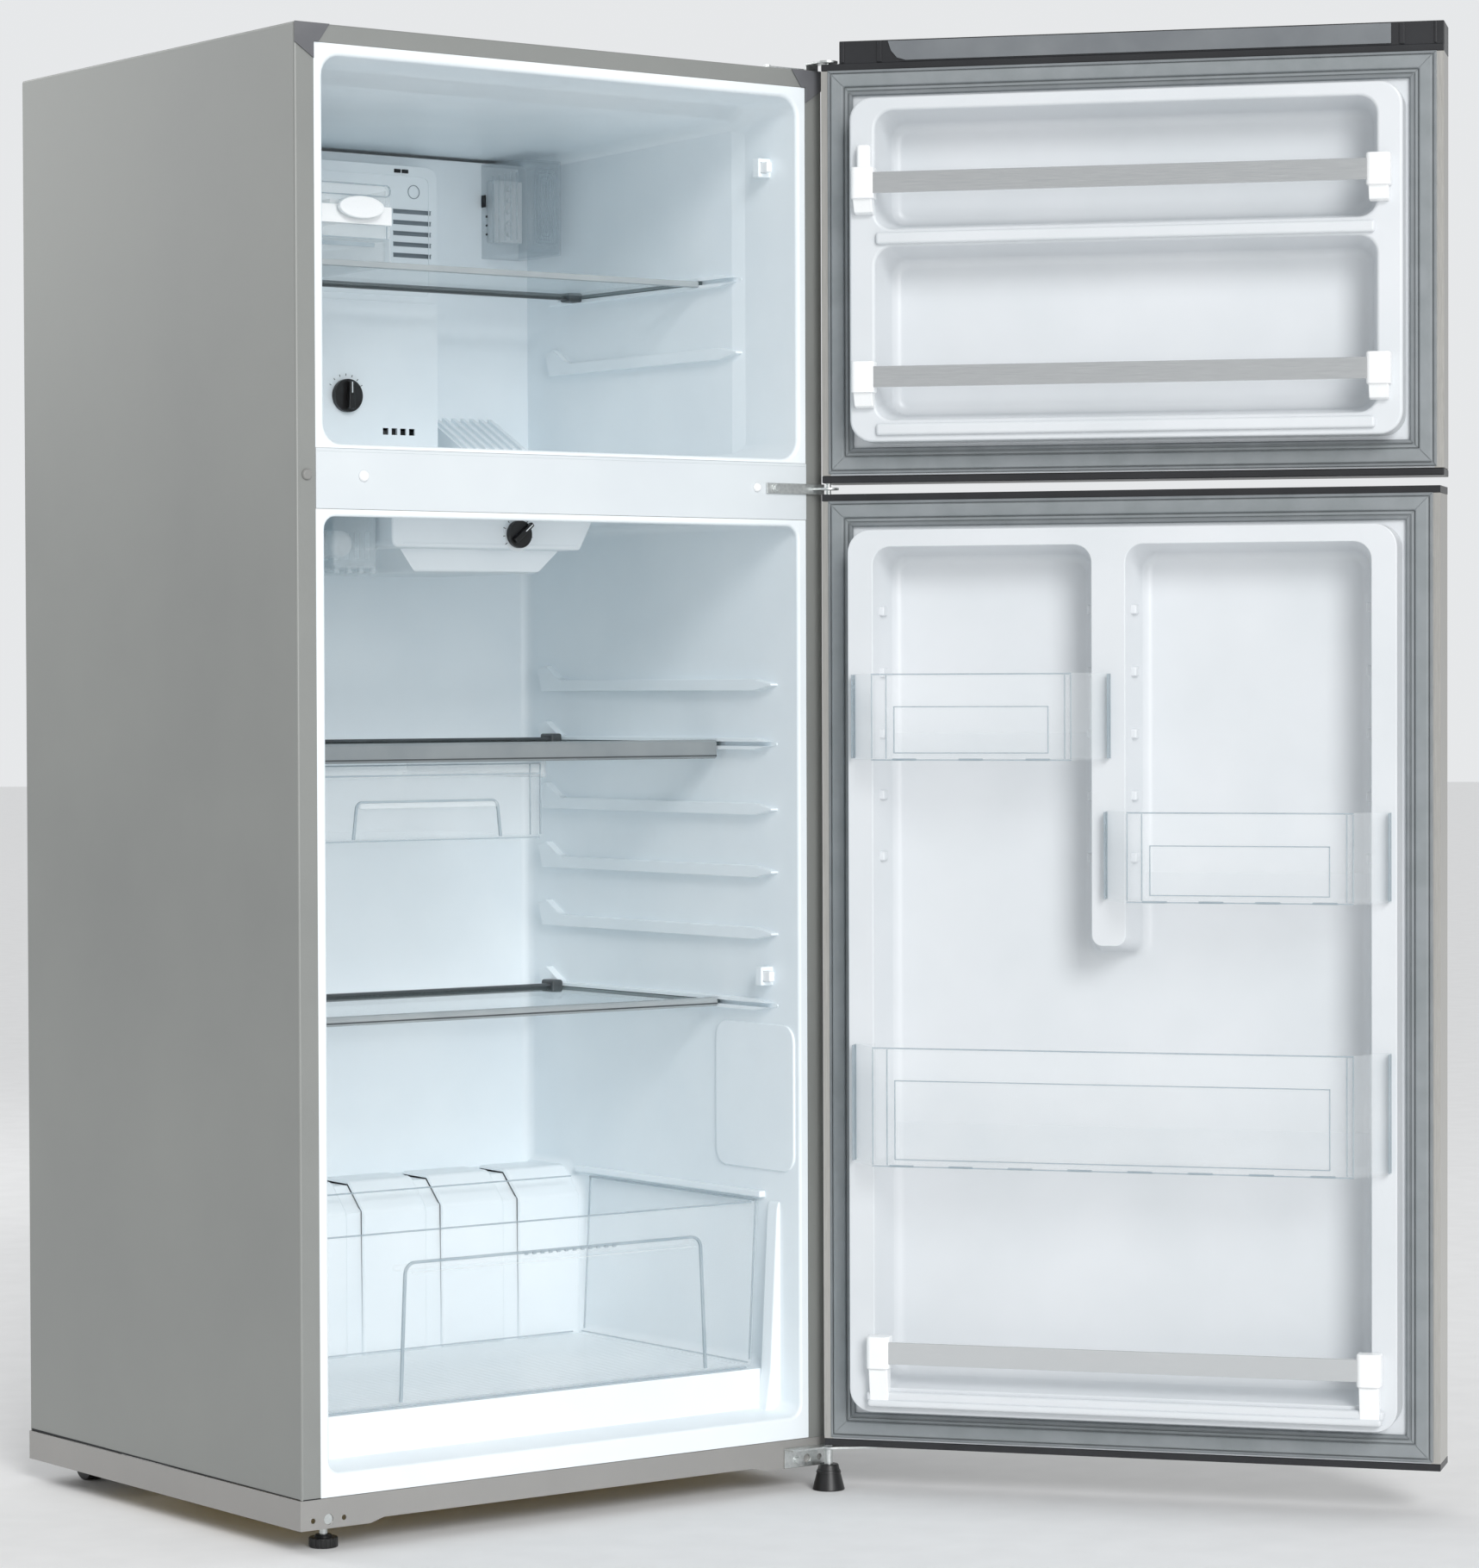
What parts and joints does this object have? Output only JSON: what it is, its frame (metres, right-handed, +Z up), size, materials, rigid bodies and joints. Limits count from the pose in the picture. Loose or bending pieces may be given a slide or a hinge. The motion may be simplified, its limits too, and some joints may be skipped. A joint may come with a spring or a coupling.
{
  "type": "top freezer refrigerator",
  "caption": "Upright refrigerator with a freezer above a fresh-food space, both doors open on right-hand hinges, glass shelves, clear drawers and door bins, and an ice maker.",
  "frame": {"origin": "on the floor, under the middle of the bounding box of the whole appliance with its doors open", "axes": "+X to the right seen from the front, +Y to the back, +Z up; the doors open towards -Y"},
  "size_m": [1.2085, 1.1944, 1.671],
  "materials": {
    "painted_steel": "satin",
    "foam": "matte",
    "white_plastic": "satin",
    "grey_plastic": "satin",
    "zinc_steel": "satin",
    "aluminium": "satin",
    "smoked_plastic": "gloss",
    "clear_plastic": "gloss",
    "black_plastic": "satin",
    "charcoal_plastic": "satin",
    "shelf_glass": "polished",
    "black_paint": "satin",
    "stainless": "satin",
    "grey_rubber": "matte"
  },
  "bodies": {
    "cabinet": {"outer_wrapper": "painted_steel", "base_frame": "painted_steel", "rear_panel": "painted_steel", "cabinet_insulation": "foam", "freezer_liner": "white_plastic", "fridge_liner": "white_plastic", "mullion_cover": "white_plastic", "evaporator_cover": "white_plastic", "ice_maker_frame": "white_plastic", "control_housing": "white_plastic", "top_corner_cap_left": "grey_plastic", "top_corner_cap_right": "grey_plastic", "upper_shelf_trim": "grey_plastic", "lower_shelf_trim": "grey_plastic", "drip_tray": "grey_plastic", "top_hinge_bracket": "zinc_steel", "middle_hinge_bracket": "zinc_steel", "bottom_hinge_bracket": "zinc_steel", "evaporator_coil": "aluminium", "freezer_lamp_cover": "smoked_plastic", "fridge_lamp_cover": "clear_plastic", "evaporator_fan_motor": "black_plastic", "freezer_shelf_glass": "shelf_glass", "upper_shelf_glass": "shelf_glass", "lower_shelf_glass": "shelf_glass", "compressor": "black_paint"},
    "freezer_door": {"freezer_door_skin": "stainless", "freezer_door_top_cap": "charcoal_plastic", "freezer_door_bottom_cap": "charcoal_plastic", "freezer_door_insulation": "foam", "freezer_door_liner": "white_plastic", "freezer_door_gasket": "grey_rubber", "freezer_retainer_upper": "aluminium", "freezer_retainer_lower": "aluminium", "freezer_handle": "stainless"},
    "fridge_door": {"fridge_door_skin": "stainless", "fridge_door_top_cap": "charcoal_plastic", "fridge_door_bottom_cap": "charcoal_plastic", "fridge_door_insulation": "foam", "fridge_door_liner": "white_plastic", "fridge_door_gasket": "grey_rubber", "upper_door_bin": "clear_plastic", "middle_door_bin": "clear_plastic", "lower_door_bin": "clear_plastic", "fridge_door_retainer": "aluminium", "fridge_handle": "stainless"},
    "deli_drawer": {"deli_drawer": "clear_plastic"},
    "crisper_drawer": {"crisper_drawer": "clear_plastic"},
    "ice_bin": {"ice_bin": "clear_plastic"},
    "left_ice_tray": {"ice_tray_left": "white_plastic"},
    "right_ice_tray": {"ice_tray_right": "white_plastic"},
    "airflow_knob": {"airflow_knob": "black_plastic"},
    "thermostat_knob": {"thermostat_knob": "black_plastic"},
    "freezer_door_switch": {"freezer_door_switch": "white_plastic"},
    "fridge_door_switch": {"fridge_door_switch": "white_plastic"},
    "left_rear_roller": {"rear_roller_left": "black_plastic"},
    "right_rear_roller": {"rear_roller_right": "black_plastic"},
    "evaporator_fan": {"evaporator_fan_blade": "white_plastic"},
    "left_foot": {"left_foot": "black_plastic"},
    "right_foot": {"right_foot": "black_plastic"}
  },
  "joints": [
    {"name": "freezer_door_hinge", "type": "hinge", "parent": "cabinet", "child": "freezer_door", "pos_m": [0.1025, -0.0285, 1.4045], "axis": [0, 0, 1], "range_deg": [-130, 0]},
    {"name": "fridge_door_hinge", "type": "hinge", "parent": "cabinet", "child": "fridge_door", "pos_m": [0.1025, -0.0285, 0.6015], "axis": [0, 0, 1], "range_deg": [-127.1, 0]},
    {"name": "crisper_slide", "type": "slide", "parent": "cabinet", "child": "crisper_drawer", "axis": [0, -1, 0], "range_m": [0, 0.3]},
    {"name": "deli_slide", "type": "slide", "parent": "cabinet", "child": "deli_drawer", "axis": [0, -1, 0], "range_m": [0, 0.2]},
    {"name": "ice_bin_slide", "type": "slide", "parent": "cabinet", "child": "ice_bin", "axis": [0, -1, 0], "range_m": [0, 0.12]},
    {"name": "left_ice_tray_twist", "type": "hinge", "parent": "cabinet", "child": "left_ice_tray", "pos_m": [-0.4662, 0.23, 1.4738], "axis": [0, 1, 0], "range_deg": [0, 150], "stiffness_Nm_per_rad": 0.15},
    {"name": "right_ice_tray_twist", "type": "hinge", "parent": "cabinet", "child": "right_ice_tray", "pos_m": [-0.3798, 0.23, 1.4738], "axis": [0, 1, 0], "range_deg": [0, 150], "stiffness_Nm_per_rad": 0.15},
    {"name": "airflow_knob_turn", "type": "hinge", "parent": "cabinet", "child": "airflow_knob", "pos_m": [-0.224, 0.49, 1.281], "axis": [0, 1, 0], "range_deg": [-90, 90]},
    {"name": "thermostat_turn", "type": "hinge", "parent": "cabinet", "child": "thermostat_knob", "pos_m": [-0.2175, 0.135, 1.1046], "axis": [0, 1, 0], "range_deg": [-140, 90]},
    {"name": "freezer_switch_push", "type": "slide", "parent": "cabinet", "child": "freezer_door_switch", "axis": [0, 1, 0], "range_m": [0, 0.006], "stiffness_N_per_m": 300},
    {"name": "fridge_switch_push", "type": "slide", "parent": "cabinet", "child": "fridge_door_switch", "axis": [0, 1, 0], "range_m": [0, 0.006], "stiffness_N_per_m": 300},
    {"name": "left_roller_spin", "type": "hinge", "parent": "cabinet", "child": "left_rear_roller", "pos_m": [-0.543, 0.56, 0.02], "axis": [1, 0, 0], "continuous": true},
    {"name": "right_roller_spin", "type": "hinge", "parent": "cabinet", "child": "right_rear_roller", "pos_m": [0.048, 0.56, 0.02], "axis": [1, 0, 0], "continuous": true},
    {"name": "evaporator_fan_spin", "type": "hinge", "parent": "cabinet", "child": "evaporator_fan", "pos_m": [-0.2475, 0.523, 1.48], "axis": [0, 1, 0], "continuous": true},
    {"name": "left_foot_turn", "type": "hinge", "parent": "cabinet", "child": "left_foot", "pos_m": [-0.555, 0.024, 0.02], "axis": [0, 0, 1], "range_deg": [-180, 180]},
    {"name": "right_foot_turn", "type": "hinge", "parent": "cabinet", "child": "right_foot", "pos_m": [0.098, -0.029, 0.02], "axis": [0, 0, 1], "range_deg": [-180, 180]}
  ]
}
